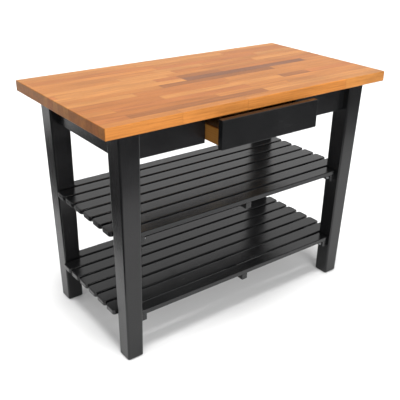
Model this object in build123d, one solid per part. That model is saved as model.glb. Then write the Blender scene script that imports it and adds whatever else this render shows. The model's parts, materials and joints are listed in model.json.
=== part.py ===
"""Butcher block work table with one drawer and two slatted shelves.

Millimetres. The origin is on the floor, midway between the four feet. +X runs along the
table's length, -Y is the front, where the drawer opens, and +Z is up. The drawer is
modelled partly open, by drawer_open.
"""
import os

from build123d import *

# ---- driving dimensions -------------------------------------------------------------
table_length = 1219.0
table_depth = 635.0
table_height = 889.0
top_thick = 38.0
top_corner_radius = 3.0
top_edge_radius = 2.5

leg_inner_x = 468.5
leg_inner_y = 200.5
leg_top_side = 76.0
leg_foot_side = 61.5
leg_edge_radius = 6.5
foot_chamfer = 5.0

apron_height = 108.0
apron_thick = 19.0
long_apron_face_y = 250.0
end_apron_face_x = 515.0
board_edge_radius = 1.5

drawer_opening_half = 204.0
drawer_front_half = 213.5
drawer_front_thick = 22.0
drawer_front_bottom = 749.0
drawer_front_top = 849.0
drawer_front_edge_radius = 2.0
drawer_front_gap = 1.0
drawer_open = 78.0
drawer_box_length = 440.0
drawer_side_outer_x = 201.0
drawer_side_thick = 12.5
drawer_side_bottom = 754.5
drawer_side_top = 808.0
drawer_side_edge_radius = 2.0
drawer_back_drop = 3.0
drawer_joint_depth = 8.0
drawer_bottom_thick = 6.0
drawer_bottom_z = 761.0
drawer_groove_depth = 6.0
drawer_screw_radius = 1.6
drawer_screw_head_radius = 3.2
drawer_side_screw_zs = (779.0, 796.0)
drawer_side_screw_length = 30.0
drawer_bottom_screw_xs = (-120.0, 0.0, 120.0)
drawer_bottom_screw_length = 20.0

header_bottom = 815.0
header_half_length = 262.0
header_screw_inset = 14.0
header_screw_length = 32.0
runner_clearance = 0.5
runner_outer_x = 219.5
runner_ledge_inner_x = 185.5
runner_ledge_height = 10.0
runner_ledge_front_y = -205.0
kicker_clearance = 2.0
kicker_inner_x = 189.5
kicker_height = 20.0
runner_screw_ys = (-120.0, 60.0, 190.0)
runner_screw_length = 38.0

slat_count = 8
slat_pitch = 66.5
slat_gap = 11.0
slat_thick = 19.0
slat_corner_radius = 10.0
slat_edge_radius = 3.0
slat_half_length = 545.0
shelf_front_y = 252.0
shelf_tops = {"lower": 181.0, "upper": 488.0}
leg_clearance = 1.5
outer_slat_screw_inset = 13.0
slat_screw_reach = 12.0

rail_side = 25.0
rail_half_length = 250.0
middle_rail_x = 6.0
rail_bolt_y = 238.0
rail_bolt_radius = 3.0
rail_bolt_depth = 35.0
rail_bolt_head_height = 4.5
rail_bolt_head_width = 10.0

brace_thick = 22.0
brace_height = 78.0
brace_gap_to_top = 12.0
hanger_bolt_radius = 4.0
hanger_bolt_inset = 20.0
hanger_bolt_tail = 14.0
hanger_bolt_depth = 38.0
hanger_washer_radius = 10.0
hanger_washer_thick = 1.6
hanger_nut_width = 13.0
hanger_nut_height = 6.5

bracket_leaf = 25.0
bracket_thick = 2.0
bracket_width = 20.0
bracket_screw_inset = 15.0
bracket_screw_radius = 2.0
bracket_head_radius = 4.0
bracket_head_height = 2.2
screw_length_into_top = 20.0
screw_length_into_apron = 16.0
rear_bracket_xs = (-360.0, 0.0, 360.0)
front_bracket_xs = (-340.0, 340.0)

hole_clearance = 0.1
hole_extra_depth = 0.2

# ---- levels and places worked out from them -----------------------------------------
top_underside = table_height - top_thick
apron_bottom = top_underside - apron_height
long_apron_back_y = long_apron_face_y - apron_thick
end_apron_back_x = end_apron_face_x - apron_thick
drawer_front_back_y = -long_apron_face_y - drawer_front_gap - drawer_open
drawer_face_y = drawer_front_back_y - drawer_front_thick
drawer_box_end_y = drawer_front_back_y + drawer_box_length
drawer_side_inner_x = drawer_side_outer_x - drawer_side_thick
guide_inner_x = drawer_side_outer_x + runner_clearance
ledge_top = drawer_side_bottom - runner_clearance
kicker_bottom = drawer_side_top + kicker_clearance
rail_xs = {
    "left": -leg_inner_x + rail_side / 2,
    "middle": middle_rail_x,
    "right": leg_inner_x - rail_side / 2,
}
leg_corners = {
    "front_left": (-1, -1),
    "front_right": (1, -1),
    "rear_left": (-1, 1),
    "rear_right": (1, 1),
}

parts = {}
solid_groups = {}


# ---- shape helpers ------------------------------------------------------------------
def block(x0, x1, y0, y1, z0, z1):
    """A plain block between two corners."""
    centre = ((x0 + x1) / 2, (y0 + y1) / 2, (z0 + z1) / 2)
    return Pos(*centre) * Box(x1 - x0, y1 - y0, z1 - z0)


def board(x0, x1, y0, y1, z0, z1, radius=board_edge_radius):
    """A board with all its edges eased."""
    shape = block(x0, x1, y0, y1, z0, z1)
    return fillet(shape.edges(), radius)


def plank(x0, x1, y0, y1, z0, z1, corner, edge):
    """A board with round corners seen from above, and eased top and bottom edges."""
    shape = block(x0, x1, y0, y1, z0, z1)
    shape = fillet(shape.edges().filter_by(Axis.Z), corner)
    ends = shape.edges().group_by(Axis.Z)[0] + shape.edges().group_by(Axis.Z)[-1]
    return fillet(ends, edge)


def rod(start, direction, length, radius):
    """A round bar from a point, along a direction."""
    frame = Plane(origin=start, z_dir=direction)
    return frame * Cylinder(radius, length, align=(Align.CENTER, Align.CENTER, Align.MIN))


def hexagon(start, direction, length, across_flats):
    """A hexagonal prism from a point, along a direction."""
    frame = Plane(origin=start, z_dir=direction)
    outline = RegularPolygon(across_flats / 2, 6, major_radius=False)
    return frame * extrude(outline, length)


def step(point, direction, distance):
    """The point a distance away along a direction."""
    return Vector(*point) + Vector(*direction).normalized() * distance


def mirrored(shape, sign_x, sign_y):
    """Carry a shape from the +X +Y quarter of the table into another quarter."""
    if sign_x < 0:
        shape = mirror(shape, about=Plane.YZ)
    if sign_y < 0:
        shape = mirror(shape, about=Plane.XZ)
    return shape


def cut(node, tool):
    """Cut a tool shape out of a node made earlier."""
    parts[node] = parts[node] - tool


def add_to_group(node, shape):
    """Add one more identical piece to a node that holds a group of separate solids."""
    solid_groups.setdefault(node, []).append(shape)


def countersunk_screw(head_point, direction, length, radius, head_radius):
    """A screw with a flat countersunk head; the head point is on the wood's surface."""
    head_height = head_radius - radius
    frame = Plane(origin=head_point, z_dir=direction)
    low = (Align.CENTER, Align.CENTER, Align.MIN)
    head = Cone(head_radius, radius, head_height, align=low)
    shank = Pos(0, 0, head_height) * Cylinder(radius, length - head_height, align=low)
    return frame * (head + shank)


def drive_screw(group, hosts, head_point, direction, length, radius=2.0, head_radius=4.0):
    """Put a countersunk screw in a group and cut its own shape out of the boards it holds."""
    screw = countersunk_screw(head_point, direction, length, radius, head_radius)
    for host in hosts:
        cut(host, screw)
    add_to_group(group, screw)


# ---- worktop and legs ---------------------------------------------------------------
def make_top():
    """The glued slab of staves, with eased corners and edges."""
    parts["butcher_block_top"] = plank(
        -table_length / 2, table_length / 2, -table_depth / 2, table_depth / 2,
        top_underside, table_height, top_corner_radius, top_edge_radius,
    )


def leg_section(side, height, inset=0.0):
    """A leg's square outline at one height; its two inner faces stand upright."""
    centre = (leg_inner_x + side / 2, leg_inner_y + side / 2, height)
    width = side - 2 * inset
    return Pos(*centre) * RectangleRounded(width, width, leg_edge_radius)


def make_legs():
    """Four square legs that taper on their two outer faces, with chamfered feet."""
    foot_top = leg_section(leg_foot_side, foot_chamfer)
    foot = loft([leg_section(leg_foot_side, 0, foot_chamfer), foot_top])
    shaft = loft([foot_top, leg_section(leg_top_side, top_underside)])
    leg = foot + shaft
    for name, (sign_x, sign_y) in leg_corners.items():
        parts[f"leg_{name}"] = mirrored(leg, sign_x, sign_y)


# ---- apron frame --------------------------------------------------------------------
def make_aprons():
    """The boards between the legs, under the top."""
    front_y = (-long_apron_face_y, -long_apron_back_y)
    rear_y = (long_apron_back_y, long_apron_face_y)
    levels = (apron_bottom, top_underside)
    parts["front_apron_left"] = board(-leg_inner_x, -drawer_opening_half, *front_y, *levels)
    parts["front_apron_right"] = board(drawer_opening_half, leg_inner_x, *front_y, *levels)
    parts["rear_apron"] = board(-leg_inner_x, leg_inner_x, *rear_y, *levels)
    end_x = (end_apron_back_x, end_apron_face_x)
    end_apron = board(*end_x, -leg_inner_y, leg_inner_y, *levels)
    parts["end_apron_right"] = end_apron
    parts["end_apron_left"] = mirror(end_apron, about=Plane.YZ)
    parts["drawer_header"] = board(
        -header_half_length, header_half_length,
        -long_apron_back_y, -long_apron_back_y + apron_thick,
        header_bottom, top_underside,
    )
    for side in (-1, 1):
        host = "front_apron_left" if side < 0 else "front_apron_right"
        inner_x = drawer_opening_half + header_screw_inset
        outer_x = header_half_length - header_screw_inset
        for x in (inner_x, outer_x):
            point = (side * x, -long_apron_back_y + apron_thick, (header_bottom + top_underside) / 2)
            drive_screw(
                "frame_screws", ["drawer_header", host], point, (0, -1, 0), header_screw_length
            )


# ---- corner braces ------------------------------------------------------------------
def make_corner_braces():
    """A mitred block across each corner, pulled onto the leg by two hanger bolts."""
    diagonal = leg_inner_x + leg_inner_y
    inner_diagonal = diagonal - brace_thick * 2 ** 0.5
    outline = Polyline(
        (end_apron_back_x, diagonal - end_apron_back_x),
        (end_apron_back_x, inner_diagonal - end_apron_back_x),
        (inner_diagonal - long_apron_back_y, long_apron_back_y),
        (diagonal - long_apron_back_y, long_apron_back_y),
        close=True,
    )
    bottom = top_underside - brace_gap_to_top - brace_height
    brace = Pos(0, 0, bottom) * extrude(make_face(outline), brace_height)
    outward = Vector(1, 1, 0).normalized()
    leg_corner = Vector(leg_inner_x, leg_inner_y, 0)
    bolt_length = hanger_bolt_tail + brace_thick + hanger_bolt_depth
    hole_length = bolt_length + hole_extra_depth
    hole_radius = hanger_bolt_radius + hole_clearance
    for name, (sign_x, sign_y) in leg_corners.items():
        node = f"corner_brace_{name}"
        parts[node] = mirrored(brace, sign_x, sign_y)
        for height in (bottom + hanger_bolt_inset, bottom + brace_height - hanger_bolt_inset):
            face = leg_corner - outward * brace_thick + Vector(0, 0, height)
            start = face - outward * hanger_bolt_tail
            bolt = rod(start, outward, bolt_length, hanger_bolt_radius)
            hole = rod(start, outward, hole_length, hole_radius)
            washer_start = face - outward * hanger_washer_thick
            washer_blank = rod(washer_start, outward, hanger_washer_thick, hanger_washer_radius)
            nut_start = washer_start - outward * hanger_nut_height
            nut_blank = hexagon(nut_start, outward, hanger_nut_height, hanger_nut_width)
            cut(node, mirrored(hole, sign_x, sign_y))
            cut(f"leg_{name}", mirrored(hole, sign_x, sign_y))
            add_to_group("hanger_bolts", mirrored(bolt, sign_x, sign_y))
            add_to_group("hanger_washers", mirrored(washer_blank - hole, sign_x, sign_y))
            add_to_group("hanger_nuts", mirrored(nut_blank - hole, sign_x, sign_y))


# ---- drawer and what guides it --------------------------------------------------------
def make_drawer():
    """A box with its sides and bottom let into a front that laps over the aprons."""
    front = board(
        -drawer_front_half, drawer_front_half, drawer_face_y, drawer_front_back_y,
        drawer_front_bottom, drawer_front_top, drawer_front_edge_radius,
    )
    bottom_z = (drawer_bottom_z, drawer_bottom_z + drawer_bottom_thick)
    side_front_y = drawer_front_back_y - drawer_joint_depth
    bottom_half = drawer_side_inner_x + drawer_groove_depth
    bottom_panel = block(
        -bottom_half, bottom_half,
        drawer_front_back_y - drawer_groove_depth, drawer_box_end_y, *bottom_z,
    )
    back = block(
        -drawer_side_inner_x, drawer_side_inner_x,
        drawer_box_end_y - drawer_side_thick, drawer_box_end_y,
        bottom_z[1], drawer_side_top - drawer_back_drop,
    )
    right_side = block(
        drawer_side_inner_x, drawer_side_outer_x, side_front_y, drawer_box_end_y,
        drawer_side_bottom, drawer_side_top,
    )
    top_edges = right_side.edges().filter_by(Axis.Y).group_by(Axis.Z)[-1]
    right_side = fillet(top_edges, drawer_side_edge_radius)
    left_side = mirror(right_side, about=Plane.YZ)
    parts["drawer_front"] = front - right_side - left_side - bottom_panel
    parts["drawer_side_right"] = right_side - bottom_panel
    parts["drawer_side_left"] = left_side - bottom_panel
    parts["drawer_back"] = back
    parts["drawer_bottom"] = bottom_panel
    screw_y = drawer_box_end_y - drawer_side_thick / 2
    radii = (drawer_screw_radius, drawer_screw_head_radius)
    for side, node in ((-1, "drawer_side_left"), (1, "drawer_side_right")):
        for z in drawer_side_screw_zs:
            point = (side * drawer_side_outer_x, screw_y, z)
            drive_screw(
                "drawer_screws", [node, "drawer_back"], point, (-side, 0, 0),
                drawer_side_screw_length, *radii,
            )
    for x in drawer_bottom_screw_xs:
        point = (x, screw_y, drawer_bottom_z)
        drive_screw(
            "drawer_screws", ["drawer_bottom", "drawer_back"], point, (0, 0, 1),
            drawer_bottom_screw_length, *radii,
        )


def make_drawer_runners():
    """L-shaped runners under the drawer sides, and kickers over them."""
    for side, name in ((-1, "left"), (1, "right")):
        guide = block(
            guide_inner_x, runner_outer_x, -long_apron_back_y, long_apron_back_y,
            ledge_top - runner_ledge_height, kicker_bottom,
        )
        ledge = block(
            runner_ledge_inner_x, runner_outer_x, runner_ledge_front_y, long_apron_back_y,
            ledge_top - runner_ledge_height, ledge_top,
        )
        kicker = block(
            kicker_inner_x, runner_outer_x,
            -long_apron_back_y + apron_thick, long_apron_back_y,
            kicker_bottom, kicker_bottom + kicker_height,
        )
        runner = guide + ledge
        if side < 0:
            runner = mirror(runner, about=Plane.YZ)
            kicker = mirror(kicker, about=Plane.YZ)
        parts[f"drawer_runner_{name}"] = runner
        parts[f"drawer_kicker_{name}"] = kicker
        screw_x = side * (guide_inner_x + runner_outer_x) / 2
        for y in runner_screw_ys:
            point = (screw_x, y, kicker_bottom + kicker_height)
            hosts = [f"drawer_kicker_{name}", f"drawer_runner_{name}"]
            drive_screw("frame_screws", hosts, point, (0, 0, -1), runner_screw_length)


# ---- slatted shelves ----------------------------------------------------------------
def make_shelf(level):
    """Eight slats on three cross-rails; the first and last slat fit between the legs."""
    top = shelf_tops[level]
    underside = top - slat_thick
    between_legs = leg_inner_x - leg_clearance
    inner_count = slat_count - 2
    edge_gap = slat_gap / 2
    inner_edge = inner_count / 2 * slat_pitch + edge_gap
    for number in range(1, slat_count + 1):
        if number == slat_count:
            y0, y1, half = -shelf_front_y, -inner_edge, between_legs
        elif number == 1:
            y0, y1, half = inner_edge, shelf_front_y, between_legs
        else:
            centre = (inner_count / 2 + 1.5 - number) * slat_pitch
            y0 = centre - slat_pitch / 2 + edge_gap
            y1 = centre + slat_pitch / 2 - edge_gap
            half = slat_half_length
        slat = plank(-half, half, y0, y1, underside, top, slat_corner_radius, slat_edge_radius)
        parts[f"{level}_slat_{number}"] = slat
    for place, x in rail_xs.items():
        rail = board(
            x - rail_side / 2, x + rail_side / 2, -rail_half_length, rail_half_length,
            underside - rail_side, underside,
        )
        parts[f"{level}_rail_{place}"] = rail
        for number in range(1, slat_count + 1):
            y = (inner_count / 2 + 1.5 - number) * slat_pitch
            if number in (1, slat_count):
                y = (inner_edge + outer_slat_screw_inset) * (1 if number == 1 else -1)
            point = (x, y, underside - rail_side)
            hosts = [f"{level}_rail_{place}", f"{level}_slat_{number}"]
            length = rail_side + slat_screw_reach
            drive_screw(f"{level}_slat_screws", hosts, point, (0, 0, 1), length)


def make_rail_bolts(level):
    """Hexagon bolts through the end rails into the legs' inner faces."""
    height = shelf_tops[level] - slat_thick - rail_side / 2
    for name, (sign_x, sign_y) in leg_corners.items():
        outward = (sign_x, 0, 0)
        place = "left" if sign_x < 0 else "right"
        face = (sign_x * (leg_inner_x - rail_side), sign_y * rail_bolt_y, height)
        length = rail_side + rail_bolt_depth
        shank = rod(face, outward, length, rail_bolt_radius)
        hole = rod(face, outward, length + hole_extra_depth, rail_bolt_radius + hole_clearance)
        head_start = step(face, outward, -rail_bolt_head_height)
        head = hexagon(head_start, outward, rail_bolt_head_height, rail_bolt_head_width)
        cut(f"{level}_rail_{place}", hole)
        cut(f"leg_{name}", hole)
        add_to_group("rail_bolts", head + shank)


# ---- brackets that hold the top -----------------------------------------------------
def make_top_brackets():
    """Steel angle brackets screwed to the aprons' backs and up into the top."""
    half_width = bracket_width / 2
    places = [(x, long_apron_back_y, 0, -1) for x in rear_bracket_xs]
    places += [(x, -long_apron_back_y, 0, 1) for x in front_bracket_xs]
    places += [(-end_apron_back_x, 0, 1, 0), (end_apron_back_x, 0, -1, 0)]
    for x, y, inward_x, inward_y in places:
        frame = Plane(
            origin=(x, y, top_underside), x_dir=(inward_y, -inward_x, 0), z_dir=(0, 0, 1)
        )
        # in this frame the bracket reaches along +Y, away from the apron's back face
        upright = frame * block(-half_width, half_width, 0, bracket_thick, -bracket_leaf, 0)
        flat = frame * block(-half_width, half_width, 0, bracket_leaf, -bracket_thick, 0)
        bracket = upright + flat
        corner = Vector(x, y, top_underside)
        inward = Vector(inward_x, inward_y, 0)
        up = Vector(0, 0, 1)
        into_top = corner + inward * bracket_screw_inset - up * bracket_thick
        into_apron = corner - up * bracket_screw_inset + inward * bracket_thick
        for point, direction, length, wood in (
            (into_top, up, screw_length_into_top, "butcher_block_top"),
            (into_apron, inward * -1, screw_length_into_apron, nearest_apron(x, y)),
        ):
            screw = rod(point, direction, length, bracket_screw_radius)
            head_start = point - direction * bracket_head_height
            head = rod(head_start, direction, bracket_head_height, bracket_head_radius)
            bracket = bracket - screw
            cut(wood, screw)
            add_to_group("top_bracket_screws", screw + head)
        add_to_group("top_brackets", bracket)


def nearest_apron(x, y):
    """The apron behind a bracket."""
    if y > 0:
        return "rear_apron"
    if y < 0:
        return "front_apron_left" if x < 0 else "front_apron_right"
    return "end_apron_left" if x < 0 else "end_apron_right"


# ---- the whole table ----------------------------------------------------------------
make_top()
make_legs()
make_aprons()
make_corner_braces()
make_drawer()
make_drawer_runners()
for shelf_level in shelf_tops:
    make_shelf(shelf_level)
    make_rail_bolts(shelf_level)
make_top_brackets()

os.makedirs("parts", exist_ok=True)
for node_name, solids in solid_groups.items():
    parts[node_name] = Compound(children=solids)
for node_name, shape in parts.items():
    export_step(shape, f"parts/{node_name}.step")
print(len(parts), "nodes")
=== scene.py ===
"""Looks of a butcher block work table: its staved worktop, materials, light and camera.

Metres, in the CAD model's frame: X along the table, -Y to the front, Z up from the floor.
"""
import json
import math
import random

import bmesh
import bpy
from mathutils import Matrix, Vector


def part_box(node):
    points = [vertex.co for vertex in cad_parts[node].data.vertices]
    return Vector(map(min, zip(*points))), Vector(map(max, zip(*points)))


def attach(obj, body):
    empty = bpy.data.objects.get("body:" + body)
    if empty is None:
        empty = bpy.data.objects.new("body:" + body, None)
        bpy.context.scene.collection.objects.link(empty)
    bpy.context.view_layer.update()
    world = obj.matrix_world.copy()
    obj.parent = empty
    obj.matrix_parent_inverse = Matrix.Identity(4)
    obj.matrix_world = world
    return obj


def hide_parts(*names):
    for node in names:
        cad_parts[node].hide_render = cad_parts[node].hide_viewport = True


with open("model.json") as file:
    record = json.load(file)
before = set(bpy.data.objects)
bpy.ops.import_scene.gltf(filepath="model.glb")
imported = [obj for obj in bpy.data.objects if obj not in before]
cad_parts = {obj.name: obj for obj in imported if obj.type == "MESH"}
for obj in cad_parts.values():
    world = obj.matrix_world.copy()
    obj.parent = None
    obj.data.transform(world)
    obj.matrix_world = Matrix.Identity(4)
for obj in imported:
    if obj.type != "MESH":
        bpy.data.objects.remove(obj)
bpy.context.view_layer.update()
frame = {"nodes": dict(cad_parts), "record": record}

# ---- worktop staves -----------------------------------------------------------------
stave_rows = 17
shortest_stave = 0.22
longest_stave = 0.62
top_corner_radius = 0.003
top_edge_radius = 0.0025
top_corner_segments = 6
top_edge_segments = 4
glue_line_half = 0.0003
stave_seed = 11
stave_brightness = (0.93, 1.07)
grain_shift_along = 5.0
grain_shift_across = (0.03, 0.2)
beyond_the_top = 0.05

# Linear colours of the staves, with how often each comes up among the random ones.
stave_colours = {
    "amber": ((0.330, 0.123, 0.026), 12),
    "honey": ((0.365, 0.148, 0.035), 8),
    "russet": ((0.300, 0.103, 0.021), 4),
    "rose": ((0.315, 0.106, 0.024), 2),
    "brown": ((0.205, 0.072, 0.018), 0),
    "plum": ((0.145, 0.056, 0.024), 0),
}

# Staves that stand out from the rest: row counted from the rear, start, end and colour.
marked_staves = [
    (2, -0.595, -0.090, "russet"),
    (7, -0.590, -0.210, "honey"),
    (7, -0.110, 0.080, "brown"),
    (8, -0.110, 0.486, "plum"),
    (9, -0.235, 0.280, "brown"),
    (12, 0.220, 0.360, "brown"),
    (13, -0.505, 0.030, "rose"),
    (15, -0.500, 0.045, "brown"),
]

# ---- paint, wood and metal ----------------------------------------------------------
paint_black = (0.0040, 0.0041, 0.0044)
# grey tone at the paint's edges: thin worn paint, and a painted highlight along the edges
thin_paint_and_edge_highlight = (0.012, 0.012, 0.013)
# darkening of the worktop's end faces: darker end grain, and painted shade on the ends
end_grain_and_painted_shade = 0.56
glue_shade = 0.55
wood_specular = 0.10
paint_specular = 0.36
worktop_roughness = 0.30
paint_roughness = 0.15
zinc_roughness = 0.18
zinc_colour = (0.56, 0.57, 0.60)
part_grain_seed = 4
part_grain_shift = 3.0

# Bare and clear-finished woods: colour, pitch of the growth rings and roughness.
bare_woods = {
    "drawer_wood": ((0.25, 0.112, 0.024), 0.0035, 0.38),
    "plain_wood": ((0.52, 0.35, 0.18), 0.0045, 0.55),
    "plywood": ((0.56, 0.40, 0.22), 0.012, 0.50),
}

# Growth rings of the worktop, and how far rings wander; the wave texture turns
# through wave_rate radians for each unit of its coordinate.
worktop_ring_pitch = 0.0055
worktop_ring_wander = 3.0
bare_wood_ring_wander = 4.0
ring_stretch = 0.05
wave_rate = 20.0

# Brightness of each surface before its patterns.
worktop_shade = 0.93
bare_wood_shade = 0.86
paint_shade = 0.6

# How much each pattern changes the brightness of the wood.
worktop_contrast = {
    "rings": 0.14, "bands": 0.26, "streaks": 0.34, "fibres": 0.18, "blotches": 0.14,
    "pores": -0.26,
}
bare_wood_contrast = {"rings": 0.16, "fibres": 0.16, "blotches": 0.16, "pores": -0.2}

# Depth of each surface's relief.
worktop_relief = 0.00006
paint_relief = 0.00008
bare_wood_relief = 0.00010
zinc_relief = 0.00005

# Grain patterns: changes per metre across the grain, and the share of that along it.
broad_bands = (75.0, 0.040)
colour_streaks = (260.0, 0.030)
worktop_fibres = (1100.0, 0.020)
worktop_pores = (1700.0, 0.06)
worktop_blotches = (14.0, 0.35)
bare_wood_fibres = (900.0, 0.02)
bare_wood_pores = (1500.0, 0.06)
bare_wood_blotches = (16.0, 0.3)
painted_grain = (420.0, 0.03)
brush_strokes = (900.0, 0.012)

# Patterns that run the same way in all directions, and the reach of the paint's edge wear and painted
# edge highlight.
paint_cloud_scale = 9.0
paint_nib_scale = 650.0
wear_and_highlight_patch_scale = 45.0
zinc_crystal_scale = 420.0
zinc_mottle_scale = 120.0
edge_wear_and_highlight_radius = 0.0016

# ---- light, floor and camera --------------------------------------------------------
floor_half = 30.0
floor_grey = 0.60
floor_glow = 0.08
overhead_strength = 4.6
overhead_softness = 24.0
overhead_tilts = (5.0, -4.0)
front_light_place = (-0.3, -2.4, 1.05)
front_light_size = (1.6, 0.5)
front_light_power = 48.0

# The world dims overhead between two heights, the sines of angles above the horizon.
dimming_heights = (0.55, 0.85)
overhead_brightness = 0.35

card_colour = (0.02, 0.02, 0.02)
card_left_x = -0.88
card_front_y = -1.4
card_rear_y = 2.1
card_height = 0.002
card_reach = 6.0

camera_place = (-1.4005, -1.7949, 1.4606)
camera_azimuth = -37.379
camera_elevation = 25.353
camera_roll = 1.087
camera_lens = 56.463


# ---- node helpers -------------------------------------------------------------------
def new_material(name):
    """A material with one Principled shader."""
    material = bpy.data.materials.new(name)
    material.use_nodes = True
    return material, material.node_tree, material.node_tree.nodes["Principled BSDF"]


def add(tree, kind, inputs=None, **settings):
    """One shader node. An input takes a number, a colour or another node's output."""
    node = tree.nodes.new("ShaderNode" + kind)
    for key, value in settings.items():
        setattr(node, key, value)
    for key, value in (inputs or {}).items():
        if isinstance(value, bpy.types.NodeSocket):
            tree.links.new(value, node.inputs[key])
        else:
            node.inputs[key].default_value = value
    return node


def calculate(tree, operation, first, second=0.0, third=0.0):
    """The result of a Math node."""
    inputs = {0: first, 1: second, 2: third}
    return add(tree, "Math", inputs, operation=operation).outputs[0]


def vector_calculate(tree, operation, first, second):
    """The result of a Vector Math node; for SCALE the second value is a factor."""
    slot = "Scale" if operation == "SCALE" else 1
    return add(tree, "VectorMath", {0: first, slot: second}, operation=operation).outputs[0]


def spread(tree, value, low, high, to_low=0.0, to_high=1.0):
    """A value carried from one range to another, and kept inside it."""
    inputs = {0: value, 1: low, 2: high, 3: to_low, 4: to_high}
    return add(tree, "MapRange", inputs).outputs[0]


def noise(tree, place, scale, detail=2.0, roughness=0.5):
    """Smooth noise, about 0 to 1."""
    inputs = {"Vector": place, "Scale": scale, "Detail": detail, "Roughness": roughness}
    return add(tree, "TexNoise", inputs).outputs["Fac"]


def attribute(tree, name, kind="GEOMETRY"):
    """A mesh or object attribute."""
    return add(tree, "Attribute", attribute_name=name, attribute_type=kind)


def object_place(tree):
    """Where a point is on its own part, in metres."""
    return add(tree, "TexCoord").outputs["Object"]


def along_grain(tree, axis):
    """A part's coordinates with the grain's direction first, shifted from part to part."""
    split = add(tree, "SeparateXYZ", {0: object_place(tree)}).outputs
    order = {"X": (0, 1, 2), "Y": (1, 0, 2), "Z": (2, 0, 1)}[axis]
    turned = add(tree, "CombineXYZ", {i: split[k] for i, k in enumerate(order)}).outputs[0]
    seed = attribute(tree, "grain_seed", "OBJECT").outputs["Vector"]
    return vector_calculate(tree, "ADD", turned, seed)


def stretch(tree, place, along):
    """Coordinates drawn out along the grain, which is their first axis."""
    return vector_calculate(tree, "MULTIPLY", place, (along, 1.0, 1.0))


def grain_noise(tree, place, pattern, detail=2.0, roughness=0.5):
    """Noise drawn out along the grain, from one of the named grain patterns."""
    scale, along = pattern
    return noise(tree, stretch(tree, place, along), scale, detail, roughness)


def pore_noise(tree, place, pattern):
    """Short scattered pores: 1 inside a pore, 0 elsewhere."""
    return spread(tree, grain_noise(tree, place, pattern, 1.0), 0.62, 0.74)


def varied(tree, shade, pattern, amount):
    """A shade made lighter and darker by a noise pattern, by half the amount each way."""
    centred = spread(tree, pattern, 0.3, 0.7, -0.5, 0.5)
    return calculate(tree, "MULTIPLY_ADD", centred, amount, shade)


def growth_rings(tree, place, pitch, wander):
    """Light and dark growth rings round the grain's direction."""
    inputs = {
        "Vector": stretch(tree, place, ring_stretch),
        "Scale": math.tau / (wave_rate * pitch),
        "Distortion": wander,
        "Detail": 2.0,
        "Detail Scale": 0.35,
    }
    return add(tree, "TexWave", inputs, wave_type="RINGS", rings_direction="X").outputs["Fac"]


def tinted(tree, colour, factor):
    """A colour made lighter or darker by a factor."""
    return vector_calculate(tree, "SCALE", colour, factor)


def bump(tree, height, distance, strength=1.0):
    """A bump normal from a height between 0 and 1."""
    inputs = {"Height": height, "Distance": distance, "Strength": strength}
    return add(tree, "Bump", inputs).outputs["Normal"]


# ---- materials ----------------------------------------------------------------------
def butcher_block_material():
    """Oiled edge-grain staves: each has its own colour and grain, with thin glue lines."""
    material, tree, shader = new_material("butcher_block")
    here = object_place(tree)
    place = vector_calculate(tree, "ADD", here, attribute(tree, "stave_shift").outputs["Vector"])
    rings = growth_rings(tree, place, worktop_ring_pitch, worktop_ring_wander)
    bands = grain_noise(tree, place, broad_bands, 2.0, 0.6)
    streaks = grain_noise(tree, place, colour_streaks, 3.0, 0.6)
    fibres = grain_noise(tree, place, worktop_fibres, 2.0, 0.6)
    blotches = grain_noise(tree, place, worktop_blotches)
    pores = pore_noise(tree, place, worktop_pores)
    shade = calculate(tree, "MULTIPLY_ADD", rings, worktop_contrast["rings"], worktop_shade)
    shade = varied(tree, shade, bands, worktop_contrast["bands"])
    shade = varied(tree, shade, streaks, worktop_contrast["streaks"])
    shade = varied(tree, shade, fibres, worktop_contrast["fibres"])
    shade = varied(tree, shade, blotches, worktop_contrast["blotches"])
    shade = calculate(tree, "MULTIPLY_ADD", pores, worktop_contrast["pores"], shade)
    normal = add(tree, "SeparateXYZ", {0: add(tree, "TexCoord").outputs["Normal"]}).outputs["X"]
    # end faces are darker: partly their end grain, partly painted shade on the table's ends
    end_grain = spread(tree, calculate(tree, "ABSOLUTE", normal), 0.6, 0.9)
    darker_ends = spread(tree, end_grain, 0.0, 1.0, 1.0, end_grain_and_painted_shade)
    shade = calculate(tree, "MULTIPLY", shade, darker_ends)
    stave_low = attribute(tree, "stave_low").outputs["Vector"]
    stave_high = attribute(tree, "stave_high").outputs["Vector"]
    from_low = vector_calculate(tree, "SUBTRACT", here, stave_low)
    from_high = vector_calculate(tree, "SUBTRACT", stave_high, here)
    nearest = add(tree, "SeparateXYZ", {0: vector_calculate(tree, "MINIMUM", from_low, from_high)})
    to_joint = calculate(tree, "MINIMUM", nearest.outputs["X"], nearest.outputs["Y"])
    glue = spread(tree, to_joint, glue_line_half, 2.5 * glue_line_half, 1.0, 0.0)
    shade = calculate(tree, "MULTIPLY", shade, spread(tree, glue, 0.0, 1.0, 1.0, glue_shade))
    colour = tinted(tree, attribute(tree, "stave_colour").outputs["Color"], shade)
    tree.links.new(colour, shader.inputs["Base Color"])
    shader.inputs["Specular IOR Level"].default_value = wood_specular
    rough = calculate(tree, "MULTIPLY_ADD", fibres, 0.12, worktop_roughness)
    rough = calculate(tree, "MULTIPLY_ADD", pores, 0.15, rough)
    tree.links.new(rough, shader.inputs["Roughness"])
    relief = calculate(tree, "MULTIPLY_ADD", pores, -0.6, fibres)
    relief = calculate(tree, "MULTIPLY_ADD", glue, -0.8, relief)
    tree.links.new(bump(tree, relief, worktop_relief), shader.inputs["Normal"])
    return material


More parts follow.
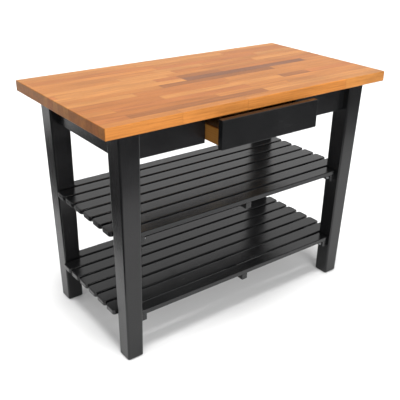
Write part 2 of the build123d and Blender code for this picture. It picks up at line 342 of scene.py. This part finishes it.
def black_paint_material(axis):
    """Satin black paint over wood, with the grain just showing through, and edges lightened partly by
    wear and partly by a painted highlight.
    """
    material, tree, shader = new_material("black_paint_" + axis.lower())
    place = along_grain(tree, axis)
    grain = grain_noise(tree, place, painted_grain, 3.0, 0.6)
    strokes = grain_noise(tree, place, brush_strokes, 2.0, 0.6)
    clouds = noise(tree, place, paint_cloud_scale, 3.0)
    nibs = spread(tree, noise(tree, place, paint_nib_scale, 1.0), 0.72, 0.80)
    shade = calculate(tree, "MULTIPLY_ADD", grain, 0.5, paint_shade)
    shade = calculate(tree, "MULTIPLY_ADD", clouds, 0.5, shade)
    # the edges' lighter grey tone is partly worn thin paint and partly a painted highlight along the
    # rounded edges
    rounded = add(tree, "Bevel", {"Radius": edge_wear_and_highlight_radius}, samples=6).outputs["Normal"]
    flat = add(tree, "NewGeometry").outputs["Normal"]
    alike = add(tree, "VectorMath", {0: rounded, 1: flat}, operation="DOT_PRODUCT").outputs["Value"]
    edge = spread(tree, alike, 0.97, 0.80)
    patches = spread(tree, noise(tree, place, wear_and_highlight_patch_scale, 4.0, 0.7), 0.52, 0.70)
    rubbed_and_highlit = calculate(tree, "MULTIPLY", edge, patches)
    black = tinted(tree, paint_black, shade)
    edge_tone_step = vector_calculate(tree, "SUBTRACT", thin_paint_and_edge_highlight, black)
    colour = vector_calculate(tree, "ADD", black, tinted(tree, edge_tone_step, rubbed_and_highlit))
    tree.links.new(colour, shader.inputs["Base Color"])
    shader.inputs["Specular IOR Level"].default_value = paint_specular
    rough = calculate(tree, "MULTIPLY_ADD", strokes, 0.10, paint_roughness)
    rough = calculate(tree, "MULTIPLY_ADD", spread(tree, clouds, 0.3, 0.7), 0.06, rough)
    tree.links.new(rough, shader.inputs["Roughness"])
    relief = calculate(tree, "MULTIPLY_ADD", strokes, 0.5, grain)
    relief = calculate(tree, "MULTIPLY_ADD", nibs, 0.8, relief)
    tree.links.new(bump(tree, relief, paint_relief), shader.inputs["Normal"])
    return material


def bare_wood_material(slot, axis):
    """Clear or bare wood with growth rings, fibres and pores."""
    base, ring_pitch, roughness = bare_woods[slot]
    material, tree, shader = new_material(f"{slot}_{axis.lower()}")
    place = along_grain(tree, axis)
    rings = growth_rings(tree, place, ring_pitch, bare_wood_ring_wander)
    fibres = grain_noise(tree, place, bare_wood_fibres, 3.0, 0.6)
    blotches = grain_noise(tree, place, bare_wood_blotches)
    pores = pore_noise(tree, place, bare_wood_pores)
    shade = calculate(tree, "MULTIPLY_ADD", rings, bare_wood_contrast["rings"], bare_wood_shade)
    shade = varied(tree, shade, fibres, bare_wood_contrast["fibres"])
    shade = varied(tree, shade, blotches, bare_wood_contrast["blotches"])
    shade = calculate(tree, "MULTIPLY_ADD", pores, bare_wood_contrast["pores"], shade)
    tree.links.new(tinted(tree, base, shade), shader.inputs["Base Color"])
    rough = calculate(tree, "MULTIPLY_ADD", fibres, 0.2, roughness)
    tree.links.new(rough, shader.inputs["Roughness"])
    shader.inputs["Specular IOR Level"].default_value = wood_specular
    relief = calculate(tree, "MULTIPLY_ADD", pores, -0.6, fibres)
    tree.links.new(bump(tree, relief, bare_wood_relief), shader.inputs["Normal"])
    return material


def zinc_steel_material():
    """Zinc-plated steel with a fine crystalline mottle."""
    material, tree, shader = new_material("zinc_steel")
    place = object_place(tree)
    crystals = add(tree, "TexVoronoi", {"Vector": place, "Scale": zinc_crystal_scale}).outputs["Color"]
    mottle = add(tree, "SeparateXYZ", {0: crystals}).outputs["X"]
    dullness = noise(tree, place, zinc_mottle_scale, 3.0)
    shade = calculate(tree, "MULTIPLY_ADD", mottle, 0.22, 0.80)
    tree.links.new(tinted(tree, zinc_colour, shade), shader.inputs["Base Color"])
    shader.inputs["Metallic"].default_value = 1.0
    rough = calculate(tree, "MULTIPLY_ADD", dullness, 0.25, zinc_roughness)
    tree.links.new(rough, shader.inputs["Roughness"])
    tree.links.new(bump(tree, dullness, zinc_relief), shader.inputs["Normal"])
    return material


# ---- giving the CAD parts their materials -------------------------------------------
def grain_axis(node):
    """The direction of a board's grain, which is its longest."""
    low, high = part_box(node)
    size = list(high - low)
    return "XYZ"[size.index(max(size))]


def make_material(slot, axis):
    """The material for one of the record's slots, with its grain along an axis."""
    if slot == "black_paint":
        return black_paint_material(axis)
    if slot in bare_woods:
        return bare_wood_material(slot, axis)
    return zinc_steel_material()


def paint_cad_parts():
    """Give every carried-over CAD part the material of its slot."""
    made = {}
    rng = random.Random(part_grain_seed)
    for part in frame["record"]["subparts"]:
        node, slot = part["node"], part["material_slot"]
        if slot == "butcher_block":
            continue
        axis = "X" if slot == "zinc_steel" else grain_axis(node)
        if (slot, axis) not in made:
            made[slot, axis] = make_material(slot, axis)
        piece = frame["nodes"][node]
        piece["grain_seed"] = [
            rng.uniform(-part_grain_shift, part_grain_shift) for _ in range(3)
        ]
        for place in piece.material_slots:
            place.material = made[slot, axis]


# ---- the staved worktop -------------------------------------------------------------
def random_staves(rng, start, end):
    """Staves of random lengths and colours that fill one stretch of a row."""
    names = list(stave_colours)
    weights = [stave_colours[name][1] for name in names]
    staves = []
    while end - start > longest_stave:
        stop = start + rng.uniform(shortest_stave, longest_stave)
        if end - stop < shortest_stave:
            stop = end - shortest_stave
        staves.append((start, stop, rng.choices(names, weights)[0]))
        start = stop
    if end > start:
        staves.append((start, end, rng.choices(names, weights)[0]))
    return staves


def stave_layout(rng, low, high):
    """Every row's staves, from the rear row to the front one."""
    rows = []
    for row in range(stave_rows):
        staves, reached = [], low.x
        for number, start, end, colour in marked_staves:
            if number == row:
                staves += random_staves(rng, reached, start)
                staves.append((start, end, colour))
                reached = end
        rows.append(staves + random_staves(rng, reached, high.x))
    return rows


def rounded_slab(low, high):
    """A closed slab with round corners seen from above and eased rims."""
    slab = bmesh.new()
    size = high - low
    middle = Matrix.Translation((low + high) / 2)
    bmesh.ops.create_cube(slab, size=1.0, matrix=middle @ Matrix.Diagonal((*size, 1.0)))
    upright = [e for e in slab.edges if abs(e.verts[0].co.z - e.verts[1].co.z) > size.z / 2]
    bmesh.ops.bevel(
        slab, geom=upright, offset=top_corner_radius, segments=top_corner_segments, profile=0.5,
        affect="EDGES", clamp_overlap=True,
    )
    rims = [
        e for e in slab.edges
        if any(abs(f.normal.z) > 0.9 for f in e.link_faces)
        and any(abs(f.normal.z) < 0.1 for f in e.link_faces)
    ]
    bmesh.ops.bevel(
        slab, geom=rims, offset=top_edge_radius, segments=top_edge_segments, profile=0.5,
        affect="EDGES", clamp_overlap=True,
    )
    return slab


def split(slab, faces, point, direction):
    """Cut some of a mesh's faces along a plane, keeping both sides joined."""
    edges = {e for f in faces for e in f.edges}
    corners = {v for f in faces for v in f.verts}
    geometry = list(faces) + list(edges) + list(corners)
    bmesh.ops.bisect_plane(slab, geom=geometry, dist=1e-6, plane_co=point, plane_no=direction)


def settle_order(elements, place):
    """Order a mesh's elements by where they are, since bmesh's own order can vary."""
    ordered = sorted(elements, key=lambda e: tuple(round(c, 6) for c in place(e)))
    for number, element in enumerate(ordered):
        element.index = number
    elements.sort()


def make_worktop():
    """The worktop as one slab whose faces follow the staves."""
    low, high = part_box("butcher_block_top")
    pitch = (high.y - low.y) / stave_rows
    rng = random.Random(stave_seed)
    rows = stave_layout(rng, low, high)
    slab = rounded_slab(low, high)
    for line in range(1, stave_rows):
        split(slab, slab.faces[:], (0, high.y - line * pitch, 0), (0, 1, 0))

    def row_of(face):
        return min(stave_rows - 1, max(0, int((high.y - face.calc_center_median().y) / pitch)))

    for row, staves in enumerate(rows):
        for _, end, _ in staves[:-1]:
            faces = [f for f in slab.faces if row_of(f) == row]
            split(slab, faces, (end, 0, 0), (1, 0, 0))

    colour_layer = slab.faces.layers.float_color.new("stave_colour")
    vector_layers = slab.faces.layers.float_vector
    shift_layer = vector_layers.new("stave_shift")
    low_layer = vector_layers.new("stave_low")
    high_layer = vector_layers.new("stave_high")
    looks = {}
    for row, staves in enumerate(rows):
        for number, (_, _, name) in enumerate(staves):
            brightness = rng.uniform(*stave_brightness)
            colour = [channel * brightness for channel in stave_colours[name][0]]
            shift = (
                rng.uniform(-grain_shift_along, grain_shift_along),
                rng.choice((-1, 1)) * rng.uniform(*grain_shift_across),
                rng.uniform(*grain_shift_across),
            )
            looks[row, number] = (colour, shift)
    for face in slab.faces:
        row, x = row_of(face), face.calc_center_median().x
        staves = rows[row]
        number = next((i for i, s in enumerate(staves) if x < s[1]), len(staves) - 1)
        start, end, _ = staves[number]
        colour, shift = looks[row, number]
        rear = high.y - row * pitch
        face[colour_layer] = (*colour, 1.0)
        # each stave's rings are centred a little off its row's middle line
        face[shift_layer] = (shift[0], shift[1] - rear + pitch / 2, shift[2] - (low.z + high.z) / 2)
        face[low_layer] = (
            start - (beyond_the_top if number == 0 else 0.0),
            rear - pitch - (beyond_the_top if row == stave_rows - 1 else 0.0),
            0.0,
        )
        face[high_layer] = (
            end + (beyond_the_top if number == len(staves) - 1 else 0.0),
            rear + (beyond_the_top if row == 0 else 0.0),
            1.0,
        )
        face.smooth = True
    settle_order(slab.verts, lambda v: v.co)
    settle_order(slab.faces, lambda f: f.calc_center_median())
    mesh = bpy.data.meshes.new("worktop_staves")
    slab.to_mesh(mesh)
    slab.free()
    mesh.materials.append(butcher_block_material())
    worktop = bpy.data.objects.new("worktop_staves", mesh)
    bpy.context.scene.collection.objects.link(worktop)
    even = worktop.modifiers.new("even_shading", "WEIGHTED_NORMAL")
    even.keep_sharp = True
    even.weight = 100
    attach(worktop, "table")
    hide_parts("butcher_block_top")


# ---- surroundings -------------------------------------------------------------------
def make_floor():
    """A plain pale studio floor."""
    bpy.ops.mesh.primitive_plane_add(size=2 * floor_half)
    floor = bpy.context.object
    floor.name = "studio_floor"
    material, _, shader = new_material("studio_floor")
    shader.inputs["Base Color"].default_value = (floor_grey, floor_grey, floor_grey, 1.0)
    shader.inputs["Roughness"].default_value = 0.9
    shader.inputs["Specular IOR Level"].default_value = 0.0
    shader.inputs["Emission Color"].default_value = (1.0, 1.0, 1.0, 1.0)
    shader.inputs["Emission Strength"].default_value = floor_glow
    floor.data.materials.append(material)


def make_world():
    """White all round the horizon, dimmer overhead."""
    world = bpy.data.worlds.new("studio")
    world.use_nodes = True
    bpy.context.scene.world = world
    tree = world.node_tree
    up = add(tree, "SeparateXYZ", {0: add(tree, "TexCoord").outputs["Generated"]}).outputs["Z"]
    brightness = spread(tree, up, *dimming_heights, 1.0, overhead_brightness)
    tree.links.new(brightness, tree.nodes["Background"].inputs["Color"])


def make_overhead_light():
    """A distant soft light above, a little to the front and left."""
    light = bpy.data.lights.new("overhead_light", "SUN")
    light.energy = overhead_strength
    light.angle = math.radians(overhead_softness)
    lamp = bpy.data.objects.new("overhead_light", light)
    to_front, to_right = (math.radians(angle) for angle in overhead_tilts)
    lamp.rotation_euler = (to_front, to_right, 0.0)
    bpy.context.scene.collection.objects.link(lamp)


def make_front_light():
    """A low softbox in front of the table, aimed at the worktop's middle."""
    light = bpy.data.lights.new("front_light", "AREA")
    light.shape = "RECTANGLE"
    light.size, light.size_y = front_light_size
    light.energy = front_light_power
    lamp = bpy.data.objects.new("front_light", light)
    lamp.location = front_light_place
    towards = Vector(front_light_place) - Vector((0.0, 0.0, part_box("butcher_block_top")[0].z))
    lamp.rotation_mode = "QUATERNION"
    lamp.rotation_quaternion = towards.to_track_quat("Z", "Y")
    lamp.visible_camera = False
    bpy.context.scene.collection.objects.link(lamp)


def make_dark_cards():
    """Dark cards on the floor in front and to the left, which only reflections see."""
    material, _, shader = new_material("dark_card")
    shader.inputs["Base Color"].default_value = (*card_colour, 1.0)
    shader.inputs["Roughness"].default_value = 1.0
    stretches = {
        "dark_card_left": (-card_reach, card_left_x, -card_reach, card_rear_y),
        "dark_card_front": (card_left_x, card_reach, -card_reach, card_front_y),
    }
    for name, (x0, x1, y0, y1) in stretches.items():
        mesh = bpy.data.meshes.new(name)
        corners = [(x, y, card_height) for x, y in ((x0, y0), (x1, y0), (x1, y1), (x0, y1))]
        mesh.from_pydata(corners, [], [(0, 1, 2, 3)])
        mesh.materials.append(material)
        card = bpy.data.objects.new(name, mesh)
        card.visible_camera = False
        card.visible_diffuse = False
        card.visible_shadow = False
        bpy.context.scene.collection.objects.link(card)


def make_camera():
    """The camera, placed by its own position and three angles."""
    camera = bpy.data.objects.new("camera", bpy.data.cameras.new("camera"))
    camera.data.lens = camera_lens
    a, e, roll = (math.radians(v) for v in (camera_azimuth, camera_elevation, camera_roll))
    back = Vector((math.sin(a) * math.cos(e), -math.cos(a) * math.cos(e), math.sin(e)))
    right = (-back).cross(Vector((0, 0, 1))).normalized()
    up = right.cross(-back)
    turned_right = right * math.cos(roll) + up * math.sin(roll)
    turned_up = up * math.cos(roll) - right * math.sin(roll)
    axes = Matrix((turned_right, turned_up, back)).transposed().to_4x4()
    camera.matrix_world = Matrix.Translation(camera_place) @ axes
    bpy.context.scene.collection.objects.link(camera)
    bpy.context.scene.camera = camera


paint_cad_parts()
make_worktop()
make_floor()
make_world()
make_overhead_light()
make_front_light()
make_dark_cards()
make_camera()
bpy.context.scene.view_settings.view_transform = "Standard"
